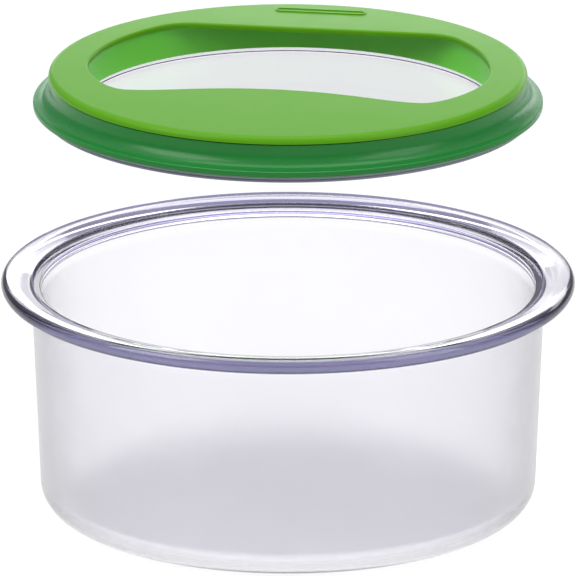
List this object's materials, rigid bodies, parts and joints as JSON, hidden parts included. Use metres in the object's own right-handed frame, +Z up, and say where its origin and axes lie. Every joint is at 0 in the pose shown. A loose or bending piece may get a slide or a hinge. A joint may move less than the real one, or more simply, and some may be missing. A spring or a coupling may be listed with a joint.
{
  "type": "snap lid food container",
  "caption": "Round clear food tub with a lift-off lid: soft seal, clear window in a round well, and a flip-up handle ring with a wave-shaped thumb tab.",
  "frame": {"origin": "Centre of the tub's foot, on the surface it stands on.", "axes": "+Z up through the tub and the lid; the thumb tab is at -Y and the ring's hinge at +Y; +X to the right seen from the tab."},
  "size_m": [0.204, 0.204, 0.1612],
  "materials": {
    "clear_tub": "clear, very slightly frosted, glossy rim",
    "green_body": "tinted translucent, glossy",
    "clear_window": "clear, glossy",
    "grey_seal": "soft, satin",
    "lime_ring": "opaque, smooth satin gloss"
  },
  "bodies": {
    "container": {"tub": "clear_tub"},
    "lid": {"lid_frame": "green_body", "window": "clear_window", "gasket": "grey_seal"},
    "ring": {"handle_ring": "lime_ring"}
  },
  "joints": [
    {"name": "lid_lift", "type": "slide", "parent": "container", "child": "lid", "axis": [0, 0, 1], "range_m": [-0.066, 0.02]},
    {"name": "ring_flip", "type": "hinge", "parent": "lid", "child": "ring", "pos_m": [0, 0.0869, 0.1544], "axis": [-1, 0, 0], "range_deg": [0, 60]}
  ]
}
